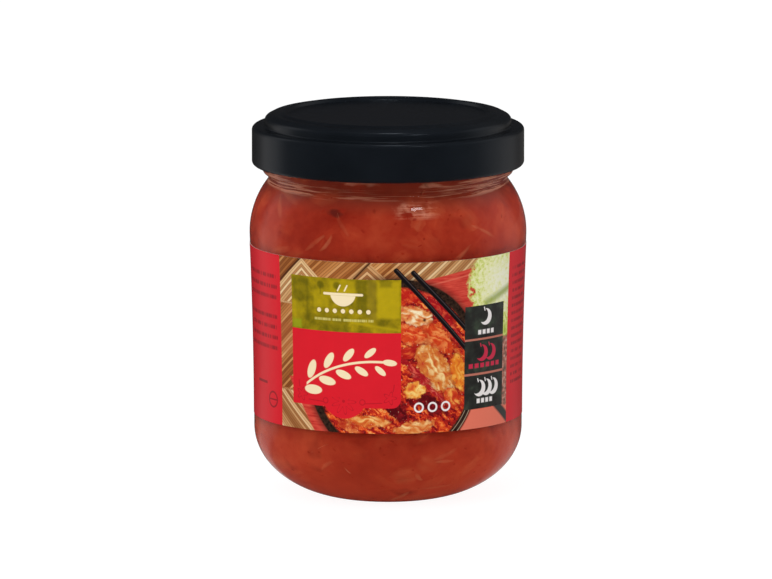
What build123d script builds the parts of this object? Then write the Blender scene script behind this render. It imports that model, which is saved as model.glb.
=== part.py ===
# A jar of kimchi: a round glass jar with a deep, rounded heel, a paper label wrapped round its side,
# the kimchi that fills it to just below the rim, and a twist-off tin lid.
# Millimetres. Z is up, the jar stands on z = 0 on its own axis, and its front faces -Y.
import os
from math import acos, degrees, sqrt

from build123d import *

# --- glass body -------------------------------------------------------------------------------
heel_radius = 30.05        # outside radius where the rounded heel ends and the side begins
heel_height = 15.5         # height of that place
heel_middle = 8.35         # how far from the axis the heel's curve would reach the table
shoulder_swell = 0.95      # how much wider the side is at the shoulder than at the heel
shoulder_rise = 12.8       # height of the shoulder, from the end of the side up to the waist
bearing_radius = 13.5      # outer edge of the ring that the jar stands on
bearing_width = 1.2        # width of that ring
push_up = 1.7              # depth of the hollow under the base
wall = 1.9                 # glass in the side and the shoulder
floor_height = 3.2         # inside floor, above the table
floor_rise = 0.6           # how much the floor rises towards the middle

# --- glass neck and finish --------------------------------------------------------------------
finish_radius = 26.6       # outside radius of the upright neck that the lid closes on
rim_wall = 2.2             # glass in the neck
rim_height = 85.85         # top of the glass
rim_round = 0.75           # rounding of the rim towards the bore
rim_land = 0.25            # width of the flat on top of the rim, where the lid seats
waist_below_bead = 2.3     # from the ring round the neck down to where the shoulder meets the neck
waist_swell = 0.2          # how much the neck stands out at its foot
waist_round = 0.7          # rounding in the corner between shoulder and neck
neck_drop = 0.7            # how far below the waist the bore begins
neck_round = 2.5           # rounding where the shoulder's inside turns into the bore
bead_stand = 1.5           # how far the ring just under the lid stands out from the neck
bead_half_height = 1.1
bead_below_curl = 1.9      # from the middle of the lid's curl down to the middle of this ring
bead_round = 0.45          # rounding where the ring meets the neck
thread_depth = 1.3         # how far a thread stands out from the neck
thread_half_height = 0.6
thread_arc = 56.0          # degrees that each thread runs round the neck
thread_tilt = 2.0          # degrees that a thread climbs
thread_starts = 4

# --- lid ----------------------------------------------------------------------------------------
tin = 0.25                 # lacquered sheet
curl_radius = 1.0          # rolled edge at the bottom of the skirt
curl_turn = 250.0          # degrees that the edge is rolled
curl_clearance = 0.4       # between the curl and the ring on the neck
lid_depth = 10.35          # from the rim down to the middle of the curl
panel_clearance = 2.1      # the sunk middle inside the bore
panel_drop = 0.8           # the middle of the lid lies this much below the ridge round it
ridge_rise = 0.4           # the ridge stands this much above the seat
ridge_lean = 0.5           # lean of the ridge's inner side
ridge_width = 0.8          # its flat top
seat_inset = 0.2           # where the seat begins, outwards of the bore
seat_reach = 0.4           # where it ends, outwards of the flat on the rim
crest_overhang = 1.05      # outer side of the crest, outwards of the neck
crest_fall = 0.95          # how far the crest slopes down from the seat to there
shoulder_drop = 2.8        # the lid's shoulder lies this much below the seat
panel_round = 0.5
ridge_round = 0.35
seat_round = 1.0           # rounding where the seat turns down
crest_round = 1.2
step_round = 0.4
shoulder_round = 0.95      # rounding from the shoulder to the skirt
lug_clearance = 0.4        # between a lug and the upright neck
lug_arc = 20.0             # degrees
lug_height = 0.7
lug_round = 0.23
lug_rise = 0.25            # bottom of a lug above the middle of the curl
lug_gap = 0.2              # between a lug and the thread above it

# --- label --------------------------------------------------------------------------------------
paper = 0.1
label_above_heel = 2.9
label_below_shoulder = 1.6
lap_width = 8.0            # the end of the label glued over its beginning, at the back
lap_azimuth = 100.0        # degrees from +X to the middle of the lap

# --- filling ------------------------------------------------------------------------------------
headspace = 4.1            # from the rim down to the kimchi

# --- places that follow from the sizes above ------------------------------------------------------
shoulder_radius = heel_radius + shoulder_swell
waist_radius = finish_radius + waist_swell
bore_radius = finish_radius - rim_wall
bead_radius = finish_radius + bead_stand
curl_height = rim_height - lid_depth
lid_radius = bead_radius + curl_clearance + 2 * curl_radius
bead_height = curl_height - bead_below_curl
waist_height = bead_height - waist_below_bead
shoulder_height = waist_height - shoulder_rise
lid_seat = rim_height + tin
land_radius = bore_radius + rim_round + rim_land
fill_height = rim_height - headspace
neck_inner_height = waist_height - neck_drop
label_bottom = heel_height + label_above_heel
label_top = shoulder_height - label_below_shoulder
heel_reach = heel_radius - heel_middle


def turned(outline):
    """The solid that an outline beside the axis makes when it is turned round the axis."""
    return revolve(Plane.XZ * outline, axis=Axis.Z)


def filled(edges):
    """The face inside a closed run of edges."""
    return make_face(Wire(edges).edges())


def corner(face, radius, height):
    """The corner of a flat outline nearest to a place."""
    return min(face.vertices(), key=lambda v: (Vector(*v) - Vector(radius, height)).length)


def heel_curve():
    """The outside of the heel, a quarter ellipse cut off by the ring that the jar stands on."""
    share = (bearing_radius - heel_middle) / heel_reach
    depth = heel_height / sqrt(1 - share**2)
    start = -degrees(acos(share))
    return EllipticalCenterArc(
        (heel_middle, heel_height), heel_reach, depth, start_angle=start, arc_size=-start
    )


def side_curve(growth=0.0):
    """The outside of the side, upright at the heel and swelling a little to the shoulder."""
    return TangentArc(
        (heel_radius + growth, heel_height), (shoulder_radius + growth, shoulder_height), tangent=(0, 1)
    )


def glass_outside():
    """The outline of the jar as if it were solid glass, with the ring round its neck."""
    hollow = TangentArc((0, push_up), (bearing_radius - bearing_width, 0), tangent=(1, 0))
    ring = Line(hollow @ 1, (bearing_radius, 0))
    heel = heel_curve()
    side = side_curve()
    shoulder = TangentArc(side @ 1, (waist_radius, waist_height), tangent=side % 1)
    foot = Line(shoulder @ 1, (waist_radius, bead_height))
    step = Line(foot @ 1, (finish_radius, bead_height))
    neck = Line(step @ 1, (finish_radius, rim_height))
    rim = Line(neck @ 1, (0, rim_height))
    axis = Line(rim @ 1, (0, push_up))
    body = filled([hollow, ring, heel, side, shoulder, foot, step, neck, rim, axis])
    bead = Pos(bead_radius - bead_half_height, bead_height) * Circle(bead_half_height)
    whole = (body + bead).face()
    rounds = [
        (waist_radius, waist_height, waist_round),
        (waist_radius, bead_height - bead_half_height, bead_round),
        (finish_radius, bead_height + bead_half_height, bead_round),
        (finish_radius, rim_height, finish_radius - land_radius),
    ]
    for radius, height, rounding in rounds:
        whole = fillet([corner(whole, radius, height)], rounding)
    return whole


def glass_inside(top):
    """The outline of the space in the jar, up to a height in the neck."""
    depth = heel_height - floor_height
    floor = TangentArc((0, floor_height + floor_rise), (heel_middle, floor_height), tangent=(1, 0))
    heel = EllipticalCenterArc(
        (heel_middle, heel_height), heel_reach - wall, depth, start_angle=-90, arc_size=90
    )
    side = side_curve(-wall)
    shoulder = TangentArc(side @ 1, (bore_radius, neck_inner_height), tangent=side % 1)
    bore = Line(shoulder @ 1, (bore_radius, top))
    level = Line(bore @ 1, (0, top))
    axis = Line(level @ 1, (0, floor_height + floor_rise))
    space = filled([floor, heel, side, shoulder, bore, level, axis])
    return fillet([corner(space, bore_radius, neck_inner_height)], neck_round)


def glass_thread():
    """One start of the thread: a rounded rib that climbs as it goes round the neck."""
    lug_top = curl_height + lug_rise + lug_height
    height = lug_top + lug_gap + thread_half_height
    round_rib = Ellipse(thread_depth, thread_half_height)
    rib = revolve(Plane.XZ * Pos(finish_radius, height) * round_rib, Axis.Z, thread_arc)
    rib = Rot(Z=-thread_arc / 2) * rib
    pivot = Pos(finish_radius, 0, height)
    return pivot * Rot(X=thread_tilt) * pivot.inverse() * rib


def make_glass():
    """The jar: one piece of glass."""
    body = turned(glass_outside())
    thread = glass_thread()
    for start in range(thread_starts):
        body += Rot(Z=start * 360 / thread_starts) * thread
    jar = body - turned(glass_inside(rim_height))
    rim_edges = jar.edges().filter_by(GeomType.CIRCLE).group_by(Axis.Z)[-1]
    return fillet([rim_edges.sort_by(SortBy.RADIUS)[0]], rim_round)


def make_kimchi():
    """The filling, which lies against the glass all over."""
    return turned(glass_inside(fill_height))


def label_layer(inner, outer):
    """The outline of paper that lies between two growths of the side."""
    def body(growth):
        side = side_curve(growth)
        top = Line(side @ 1, (0, shoulder_height))
        axis = Line(top @ 1, (0, heel_height))
        bottom = Line(axis @ 1, side @ 0)
        return filled([side, top, axis, bottom])

    height = label_top - label_bottom
    band = Pos(0, (label_top + label_bottom) / 2) * Rectangle(4 * shoulder_radius, height)
    return ((body(outer) - body(inner)) & band).face()


def make_label():
    """The label, once round the jar, with its end lapped over its beginning."""
    wrap = turned(label_layer(0, paper))
    lap_arc = degrees(lap_width / heel_radius)
    lap = revolve(Plane.XZ * label_layer(paper, 2 * paper), Axis.Z, lap_arc)
    return wrap + Rot(Z=lap_azimuth - lap_arc / 2) * lap


def lid_sheet():
    """The outline of the lid's sheet, from its middle out to the rolled edge."""
    ridge_height = lid_seat + ridge_rise
    panel_height = ridge_height - panel_drop
    panel_radius = bore_radius - panel_clearance
    ridge_start = panel_radius + ridge_lean
    crest_radius = finish_radius + crest_overhang
    shoulder = lid_seat - shoulder_drop
    run = FilletPolyline(
        (0, panel_height),
        (panel_radius, panel_height),
        (ridge_start, ridge_height),
        (ridge_start + ridge_width, ridge_height),
        (bore_radius + seat_inset, lid_seat),
        (land_radius + seat_reach, lid_seat),
        (crest_radius, lid_seat - crest_fall),
        (crest_radius, shoulder),
        (lid_radius, shoulder),
        (lid_radius, curl_height),
        radius=[
            panel_round,
            ridge_round,
            ridge_round,
            panel_round,
            seat_round,
            crest_round,
            step_round,
            shoulder_round,
        ],
    )
    curl = CenterArc((lid_radius - curl_radius, curl_height), curl_radius, 0, -curl_turn)
    return make_face(offset(Wire([*run.edges(), *curl.edges()]), tin, side=Side.RIGHT).edges())


def lid_lug():
    """One lug, a tab of the rolled edge that stands in under a thread."""
    inner = finish_radius + lug_clearance
    outer = lid_radius - 2 * curl_radius + 2 * tin
    height = curl_height + lug_rise + lug_height / 2
    tab = Pos((inner + outer) / 2, height) * RectangleRounded(outer - inner, lug_height, lug_round)
    return Rot(Z=-lug_arc / 2) * revolve(Plane.XZ * tab, Axis.Z, lug_arc)


def make_lid():
    """The lid: one piece of sheet, with a lug under each thread."""
    lid = turned(lid_sheet())
    lug = lid_lug()
    for start in range(thread_starts):
        lid += Rot(Z=start * 360 / thread_starts) * lug
    return lid


pieces = {
    "glass_jar": make_glass(),
    "kimchi": make_kimchi(),
    "label": make_label(),
    "lid": make_lid(),
}

os.makedirs("parts", exist_ok=True)
for name, piece in pieces.items():
    export_step(piece, f"parts/{name}.step")
    box = piece.bounding_box()
    print(name, "volume", round(piece.volume), "solids", len(piece.solids()), "valid", piece.is_valid, box)
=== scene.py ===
import math
import random
from bisect import bisect_left

import bmesh
import bpy
from mathutils import Matrix, Vector, noise


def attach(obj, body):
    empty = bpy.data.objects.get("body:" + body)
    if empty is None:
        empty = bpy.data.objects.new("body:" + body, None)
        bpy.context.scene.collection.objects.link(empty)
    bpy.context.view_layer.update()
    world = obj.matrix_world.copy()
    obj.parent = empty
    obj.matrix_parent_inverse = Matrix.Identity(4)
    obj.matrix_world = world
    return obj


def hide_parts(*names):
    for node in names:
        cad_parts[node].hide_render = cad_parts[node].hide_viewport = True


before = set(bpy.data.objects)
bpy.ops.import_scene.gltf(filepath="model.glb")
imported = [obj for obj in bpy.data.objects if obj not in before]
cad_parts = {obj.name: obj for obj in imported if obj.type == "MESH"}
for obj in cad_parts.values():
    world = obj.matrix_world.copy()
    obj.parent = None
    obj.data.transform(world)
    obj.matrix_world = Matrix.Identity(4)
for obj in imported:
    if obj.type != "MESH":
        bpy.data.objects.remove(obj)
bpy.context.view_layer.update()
mm = 0.001
white = (1, 1, 1, 1)


def tone(red, green, blue):
    # a screen colour, 0 to 255, as the linear colour a shader wants
    def linear(value):
        share = value / 255
        return share / 12.92 if share <= 0.04045 else ((share + 0.055) / 1.055) ** 2.4
    return (linear(red), linear(green), linear(blue), 1.0)


def join(tree, socket, value):
    # a value goes on the socket itself, and another node's output is linked to it
    if isinstance(value, bpy.types.NodeSocket):
        tree.links.new(value, socket)
    else:
        socket.default_value = value


def addNode(tree, kind, inputs=None, **settings):
    node = tree.nodes.new(kind)
    for name, value in settings.items():
        setattr(node, name, value)
    for socket, value in (inputs or {}).items():
        join(tree, node.inputs[socket], value)
    return node


def calc(tree, operation, first, second=0.0, third=0.0, clamp=False):
    return addNode(tree, "ShaderNodeMath", {0: first, 1: second, 2: third},
                   operation=operation, use_clamp=clamp).outputs[0]


def slope(tree, value, factor, offset):
    # a value scaled and shifted, then held between 0 and 1
    return calc(tree, "MULTIPLY_ADD", value, factor, offset, clamp=True)


def both(tree, first, *others):
    for other in others:
        first = calc(tree, "MULTIPLY", first, other)
    return first


def either(tree, *masks):
    total = masks[0]
    for mask in masks[1:]:
        total = calc(tree, "MAXIMUM", total, mask)
    return total


def without(tree, first, second):
    return both(tree, first, calc(tree, "SUBTRACT", 1.0, second))


def vectorCalc(tree, operation, first, second=(0, 0, 0), output="Vector"):
    return addNode(tree, "ShaderNodeVectorMath", {0: first, 1: second}, operation=operation).outputs[output]


def scaleVector(tree, vector, factor):
    return addNode(tree, "ShaderNodeVectorMath", {0: vector, "Scale": factor}, operation="SCALE").outputs[0]


def axes(tree, vector):
    return addNode(tree, "ShaderNodeSeparateXYZ", {0: vector}).outputs


def stirred(tree, place, drift, reach):
    # the place moved about by a coloured cloud
    return vectorCalc(tree, "ADD", place,
                      scaleVector(tree, vectorCalc(tree, "SUBTRACT", drift, (0.5, 0.5, 0.5)), reach))


def paint(tree, under, over, mask, strength=None):
    # one colour laid over another where the mask is 1
    if strength is not None:
        mask = both(tree, mask, strength)
    node = addNode(tree, "ShaderNodeMix", data_type="RGBA", clamp_factor=True)
    for slot, value in ((0, mask), (6, under), (7, over)):
        join(tree, node.inputs[slot], value)
    return node.outputs[2]


def ramp(tree, factor, stops):
    node = addNode(tree, "ShaderNodeValToRGB", {0: factor})
    elements = node.color_ramp.elements
    while len(elements) < len(stops):
        elements.new(0.5)
    for element, (position, colour) in zip(elements, stops):
        element.position = position
        element.color = colour
    return node.outputs[0]


def cloud(tree, vector, scale, detail=3.0, rough=0.5, output="Fac"):
    return addNode(tree, "ShaderNodeTexNoise", {"Vector": vector, "Scale": scale, "Detail": detail,
                                                "Roughness": rough}).outputs[output]


def bandMask(tree, value, low, high, soft):
    # 1 between two values, 0 outside, with soft ends
    middle, half = (low + high) / 2, (high - low) / 2
    away = calc(tree, "ABSOLUTE", calc(tree, "SUBTRACT", value, middle))
    return slope(tree, calc(tree, "SUBTRACT", half, away), 1 / soft, 0.5)


def newGroup(name):
    # a group that gives a colour for a place
    tree = bpy.data.node_groups.new(name, "ShaderNodeTree")
    tree.interface.new_socket(name="Place", in_out="INPUT", socket_type="NodeSocketVector")
    tree.interface.new_socket(name="Colour", in_out="OUTPUT", socket_type="NodeSocketColor")
    return tree, addNode(tree, "NodeGroupInput").outputs[0]


def colourAt(tree, group, place):
    node = addNode(tree, "ShaderNodeGroup", node_tree=group)
    tree.links.new(place, node.inputs[0])
    return node.outputs[0]


def newMaterial(name):
    material = bpy.data.materials.new(name)
    material.use_nodes = True
    tree = material.node_tree
    return material, tree, tree.nodes["Principled BSDF"]


def setFinish(shader, **values):
    for name, value in values.items():
        shader.inputs[name.replace("_", " ")].default_value = value


def addBump(tree, shader, height, strength, distance):
    bump = addNode(tree, "ShaderNodeBump", {"Height": height, "Strength": strength, "Distance": distance})
    tree.links.new(bump.outputs[0], shader.inputs["Normal"])


def objectPlace(tree):
    return addNode(tree, "ShaderNodeTexCoord").outputs["Object"]


def finishPiece(bm, name, materials, sharpAngle=None):
    # writes a bmesh as a piece that rides on the jar
    mesh = bpy.data.meshes.new(name)
    bm.to_mesh(mesh)
    bm.free()
    for material in materials:
        mesh.materials.append(material)
    mesh.shade_smooth()
    if sharpAngle:
        mesh.set_sharp_from_angle(angle=math.radians(sharpAngle))
    piece = bpy.data.objects.new(name, mesh)
    bpy.context.scene.collection.objects.link(piece)
    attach(piece, "root")
    print("made", name, len(mesh.polygons), "faces")
    return piece




# outlines are runs of points beside the axis, a radius and a height in millimetres

def turnedBy(vector, angle):
    return Vector((vector.x * math.cos(angle) - vector.y * math.sin(angle),
                   vector.x * math.sin(angle) + vector.y * math.cos(angle)))


def arcOn(start, end, heading, steps):
    # points of the arc that leaves start in a heading and ends at end, and the heading it ends with
    across = Vector((-heading.y, heading.x))
    chord = end - start
    offset = chord.dot(across)
    turn = 2 * math.atan2(offset, chord.dot(heading))
    centre = start + across * (chord.length_squared / (2 * offset))
    points = [centre + turnedBy(start - centre, turn * i / steps) for i in range(steps + 1)]
    return points, turnedBy(heading, turn)


def ovalArc(centre, reach, depth, first, last, steps):
    angles = [math.radians(first + (last - first) * i / steps) for i in range(steps + 1)]
    return [Vector((centre[0] + reach * math.cos(a), centre[1] + depth * math.sin(a))) for a in angles]


def softCorner(points, place, cut, steps=5):
    # rounds the corner nearest to a place, starting this far before it and ending as far after it
    middle = min(range(len(points)), key=lambda i: (points[i] - place).length)
    corner = points[middle].copy()

    def walk(step):
        i, left = middle, cut
        while 0 <= i + step < len(points):
            gap = (points[i + step] - points[i]).length
            if gap >= left:
                return i + step, points[i].lerp(points[i + step], left / gap)
            left, i = left - gap, i + step
        return i, points[i].copy()

    before, start = walk(-1)
    after, end = walk(1)
    shares = [i / steps for i in range(steps + 1)]
    bend = [start.lerp(corner, share).lerp(corner.lerp(end, share), share) for share in shares]
    return points[:before + 1] + bend + points[after:]


def roundedRun(corners, radii, steps=6):
    # a run of straight lines with an arc at each inner corner
    points = [Vector(corners[0])]
    for i, radius in enumerate(radii, 1):
        corner = Vector(corners[i])
        back = (Vector(corners[i - 1]) - corner).normalized()
        ahead = (Vector(corners[i + 1]) - corner).normalized()
        half = back.angle(ahead) / 2
        start = corner + back * (radius / math.tan(half))
        arc, _ = arcOn(start, corner + ahead * (radius / math.tan(half)), -back, steps)
        points += arc
    return points + [Vector(corners[-1])]


def closer(points, longest):
    # the same outline with no step longer than this
    made = [points[0]]
    for start, end in zip(points, points[1:]):
        count = max(1, math.ceil((end - start).length / longest))
        made += [start.lerp(end, i / count) for i in range(1, count + 1)]
    return made


def clean(points, least=0.01):
    made = [points[0]]
    for point in points[1:]:
        if (point - made[-1]).length > least:
            made.append(point)
    return made


def spinOutline(points, steps):
    # the shell that an outline makes when it is spun round the axis, in metres
    bm = bmesh.new()
    verts = [bm.verts.new((p.x * mm, 0, p.y * mm)) for p in points]
    edges = [bm.edges.new(pair) for pair in zip(verts, verts[1:])]
    bmesh.ops.spin(bm, geom=verts + edges, cent=(0, 0, 0), axis=(0, 0, 1), dvec=(0, 0, 0),
                   angle=2 * math.pi, steps=steps, use_merge=True, use_duplicate=False)
    bmesh.ops.remove_doubles(bm, verts=bm.verts, dist=1e-7)
    bmesh.ops.recalc_face_normals(bm, faces=bm.faces)
    return bm


jar = {  # the glass, in millimetres and degrees
    "heelMiddle": 8.35, "heelRadius": 30.05, "heelHeight": 15.5,
    "shoulderRadius": 31.0, "shoulderHeight": 58.5,
    "bearingRadius": 13.5, "bearingWidth": 1.2, "bearingRound": 0.3, "pushUp": 1.7,
    "wall": 1.9, "floorHeight": 3.2, "floorRise": 0.6,
    "waistRadius": 26.8, "waistHeight": 71.3, "waistRound": 0.45,
    "finishRadius": 26.6, "boreRadius": 24.4, "boreHeight": 70.6, "boreRound": 1.04, "rimHeight": 85.85,
    "beadRadius": 28.1, "beadHalf": 1.1, "beadHeight": 73.6, "beadRound": 0.3,
    "threads": 4, "threadHeight": 77.25, "threadDepth": 1.3, "threadHalf": 0.6, "threadArc": 56.0,
    "threadFade": 1.5, "threadClimb": 2.0, "threadLow": 75.5, "threadHigh": 79.5,
    "rimInnerRound": 0.75, "rimOuterRound": 1.2,
    "seamStand": 0.015, "seamLow": 6, "seamHigh": 72, "bodyLeast": 20, "steps": 240,
}


def glassOutside():
    j = jar
    bearing = j["bearingRadius"] - j["bearingWidth"]
    share = (j["bearingRadius"] - j["heelMiddle"]) / (j["heelRadius"] - j["heelMiddle"])
    depth = j["heelHeight"] / math.sqrt(1 - share ** 2)
    hollow, _ = arcOn(Vector((0, j["pushUp"])), Vector((bearing, 0)), Vector((1, 0)), 10)
    heel = ovalArc((j["heelMiddle"], j["heelHeight"]), j["heelRadius"] - j["heelMiddle"], depth,
                   -math.degrees(math.acos(share)), 0, 30)
    side, heading = arcOn(heel[-1], Vector((j["shoulderRadius"], j["shoulderHeight"])), Vector((0, 1)), 16)
    shoulder, _ = arcOn(side[-1], Vector((j["waistRadius"], j["waistHeight"])), heading, 22)
    beadMiddle = (j["beadRadius"] - j["beadHalf"], j["beadHeight"])
    low = -math.degrees(math.acos((j["waistRadius"] - beadMiddle[0]) / j["beadHalf"]))
    high = math.degrees(math.acos((j["finishRadius"] - beadMiddle[0]) / j["beadHalf"]))
    bead = ovalArc(beadMiddle, j["beadHalf"], j["beadHalf"], low, high, 14)
    neck = closer([bead[-1], Vector((j["finishRadius"], j["rimHeight"]))], 0.18)
    points = clean(hollow + heel + side + shoulder + bead + neck)
    points = softCorner(points, Vector((bearing, 0)), j["bearingRound"], 3)
    points = softCorner(points, Vector((j["bearingRadius"], 0)), j["bearingRound"], 3)
    points = softCorner(points, Vector((j["waistRadius"], j["waistHeight"])), j["waistRound"])
    points = softCorner(points, bead[0], j["beadRound"])
    return softCorner(points, bead[-1], j["beadRound"])


def glassInside(top, growth=0.0):
    # from the middle of the floor up to a height in the neck
    j = jar
    floorHeight = j["floorHeight"] - growth
    reach = j["heelRadius"] - j["heelMiddle"] - j["wall"] + growth
    floor, _ = arcOn(Vector((0, j["floorHeight"] + j["floorRise"] - growth)),
                     Vector((j["heelMiddle"], floorHeight)), Vector((1, 0)), 6)
    heel = ovalArc((j["heelMiddle"], j["heelHeight"]), reach,
                   j["heelHeight"] - j["floorHeight"] + growth, -90, 0, 26)
    side, heading = arcOn(heel[-1], Vector((j["shoulderRadius"] - j["wall"] + growth, j["shoulderHeight"])),
                          Vector((0, 1)), 16)
    shoulder, _ = arcOn(side[-1], Vector((j["boreRadius"] + growth, j["boreHeight"])), heading, 20)
    points = clean(floor + heel + side + shoulder + [Vector((j["boreRadius"] + growth, top))])
    return softCorner(points, shoulder[-1], j["boreRound"], 8)


def makeGlassMaterial():
    material, tree, shader = newMaterial("flintGlass")
    setFinish(shader, Base_Color=(0.985, 0.992, 0.988, 1), Roughness=0.0, IOR=1.5, Transmission_Weight=1.0)
    coords = objectPlace(tree)
    # the neck is wavier than the side
    neck = bandMask(tree, axes(tree, coords)[2], 66 * mm, 90 * mm, 3 * mm)
    waves = calc(tree, "MULTIPLY_ADD", both(tree, neck, 0.3), cloud(tree, coords, 380, 2.0, 0.5),
                 cloud(tree, coords, 55, 2.0, 0.4))
    addBump(tree, shader, waves, 0.06, 0.002)
    return material


def threadStand(angle, height):
    # how far a thread stands out of the neck here, in millimetres
    best = 0.0
    halfArc = jar["threadArc"] / 2 + jar["threadFade"]
    lean = math.sin(math.radians(jar["threadClimb"]))
    for start in range(jar["threads"]):
        away = (math.degrees(angle) - 360 / jar["threads"] * start + 180) % 360 - 180
        if abs(away) < halfArc:
            climb = jar["finishRadius"] * math.tan(math.radians(away)) * lean
            offset = (height - jar["threadHeight"] - climb) / jar["threadHalf"]
            ends = min(1.0, max(0.0, (halfArc - abs(away)) / (2 * jar["threadFade"])))
            if abs(offset) < 1:
                best = max(best, jar["threadDepth"] * math.sqrt(1 - offset ** 2) * ends)
    return best


def makeGlass():
    rim, bore, finish = jar["rimHeight"], jar["boreRadius"], jar["finishRadius"]
    loop = clean(glassOutside() + list(reversed(glassInside(rim))))
    loop = softCorner(loop, Vector((finish, rim)), jar["rimOuterRound"], 9)
    loop = softCorner(loop, Vector((bore, rim)), jar["rimInnerRound"], 7)
    bm = spinOutline(loop, jar["steps"])
    for vert in bm.verts:
        radius = math.hypot(vert.co.x, vert.co.y) / mm
        angle = math.atan2(vert.co.y, vert.co.x)
        height = vert.co.z / mm
        if radius < jar["bodyLeast"]:
            continue
        grow = 0.0
        outward = vert.normal.x * vert.co.x > 0
        if abs(radius - finish) < 0.05 and jar["threadLow"] < height < jar["threadHigh"]:
            grow = threadStand(angle, height)
        elif abs(math.sin(angle)) < 0.01 and jar["seamLow"] < height < jar["seamHigh"] and outward:
            grow = jar["seamStand"]  # where the two halves of the mould met
        if grow:
            vert.co.x *= 1 + grow / radius
            vert.co.y *= 1 + grow / radius
    glass = finishPiece(bm, "jar_glass", [makeGlassMaterial()])
    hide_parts("glass_jar")


brine = {  # the cloudy brine, in millimetres
    "intoWall": 0.08, "fillHeight": 81.75, "steps": 200, "floorReach": 9,
    "deep": tone(144, 38, 23), "plain": tone(168, 52, 32), "light": tone(186, 70, 43),
    "foot": tone(214, 80, 52), "footHigh": 16, "spots": tone(112, 28, 22),
    # the neck tone is painted shade: the brine's top, under the lid, made darker and browner
    "neck": tone(124, 54, 38), "neckShadeLow": 66.5, "neckShadeClimb": 3,
    # the pale streaks and the patch below them are painted glints of the neck glass, in the brine's colour
    "paintedGlints": tone(232, 160, 128), "glintsLow": 69.5, "glintsHigh": 74.5,
    "glintPatchLeft": 2, "glintPatchRight": 10, "glintPatchLow": 66.1, "glintPatchHigh": 69,
    "dark": tone(74, 26, 22), "darkPlace": (-0.0115, 0, 0.0669),
}


def makeBrineGroup():
    # the colour of the brine at a place, in metres
    tree, place = newGroup("brineColour")
    x, y, height = axes(tree, place)
    broad = cloud(tree, place, 70, 3.0, 0.55)
    fine = cloud(tree, place, 420, 4.0, 0.6)
    mixed = calc(tree, "MULTIPLY_ADD", fine, 0.28, both(tree, broad, 0.72))
    colour = ramp(tree, mixed, [(0.34, brine["deep"]), (0.5, brine["plain"]), (0.66, brine["light"])])
    colour = paint(tree, colour, brine["foot"], slope(tree, height, -1 / (brine["footHigh"] * mm), 1.0), 0.7)
    colour = paint(tree, colour, brine["spots"], slope(tree, cloud(tree, place, 150, 2.0, 0.5), 3.2, -1.95))
    # painted shade: the brine in the neck darkened and browned as if shaded by the lid
    climb = brine["neckShadeClimb"]
    neck = slope(tree, height, 1 / (climb * mm), -brine["neckShadeLow"] / climb)
    colour = paint(tree, colour, brine["neck"], neck, 0.6)
    # painted highlights: pale streaks that run round the neck, more of them at its sides, put in the brine's
    # colour to stand for glints on the glass
    thin = cloud(tree, vectorCalc(tree, "MULTIPLY", place, (90, 90, 1900)), 1.0, 3.0, 0.6)
    aside = calc(tree, "ABSOLUTE", x)
    paintedGlints = both(tree, slope(tree, thin, 9, calc(tree, "MULTIPLY_ADD", aside, 34, -4.9)),
                   bandMask(tree, height, brine["glintsLow"] * mm, brine["glintsHigh"] * mm, 0.6 * mm),
                   slope(tree, aside, 24, 0.3))
    # a small pale patch of painted glint and one dark scrap below them, in front
    inFront = calc(tree, "LESS_THAN", y, 0.0)
    grainy = calc(tree, "MULTIPLY_ADD", fine, 0.5, both(tree, thin, 0.6))
    # painted highlight: a pale grainy patch standing for a glint on the shoulder glass
    glintPatch = both(tree, bandMask(tree, x, brine["glintPatchLeft"] * mm, brine["glintPatchRight"] * mm, 3 * mm),
                 bandMask(tree, height, brine["glintPatchLow"] * mm, brine["glintPatchHigh"] * mm, 0.9 * mm),
                 inFront, slope(tree, grainy, 8, -4.1), 0.7)
    colour = paint(tree, colour, brine["paintedGlints"], either(tree, paintedGlints, glintPatch))
    away = vectorCalc(tree, "SUBTRACT", place, brine["darkPlace"])
    away = vectorCalc(tree, "LENGTH", vectorCalc(tree, "MULTIPLY", away, (420, 0, 820)), output="Value")
    ragged = slope(tree, fine, 3.0, calc(tree, "MULTIPLY_ADD", away, -2.4, 0.5))
    colour = paint(tree, colour, brine["dark"], both(tree, ragged, inFront), 0.7)
    addNode(tree, "NodeGroupOutput", {0: colour})
    return tree


brineGroup = makeBrineGroup()


def makeBrine():
    material, tree, shader = newMaterial("chilliBrine")
    coords = objectPlace(tree)
    tree.links.new(colourAt(tree, brineGroup, coords), shader.inputs["Base Color"])
    setFinish(shader, Roughness=0.55, Specular_IOR_Level=0.0)
    addBump(tree, shader, cloud(tree, coords, 180, 3.0, 0.5), 0.35, 0.001)
    outline = clean(glassInside(brine["fillHeight"], brine["intoWall"]) + [Vector((0, brine["fillHeight"]))])
    bm = spinOutline(closer(outline, 2.5), brine["steps"])
    core = finishPiece(bm, "kimchi_brine", [material], sharpAngle=50)
    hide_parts("kimchi")


innerWall = closer(glassInside(brine["fillHeight"]), 0.5)
wallRun = [0.0]
for wallStart, wallEnd in zip(innerWall, innerWall[1:]):
    wallRun.append(wallRun[-1] + (wallEnd - wallStart).length)


def wallPlace(run, around, depth):
    # a point this far up along the inside of the wall, this far round it, and this deep into the glass
    run = min(max(run, 0.01), wallRun[-1] - 0.01)
    i = bisect_left(wallRun, run) - 1
    share = (run - wallRun[i]) / (wallRun[i + 1] - wallRun[i])
    point = innerWall[i].lerp(innerWall[i + 1], share)
    along = (innerWall[i + 1] - innerWall[i]).normalized()
    point = point + Vector((along.y, -along.x)) * depth
    return Vector((point.x * math.sin(around), -point.x * math.cos(around), point.y)) * mm, point.x


def runAtHeight(height):
    for i in range(1, len(innerWall)):
        if innerWall[i].y >= height and innerWall[i].x > brine["floorReach"]:
            return wallRun[i]
    return wallRun[-1]


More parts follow.
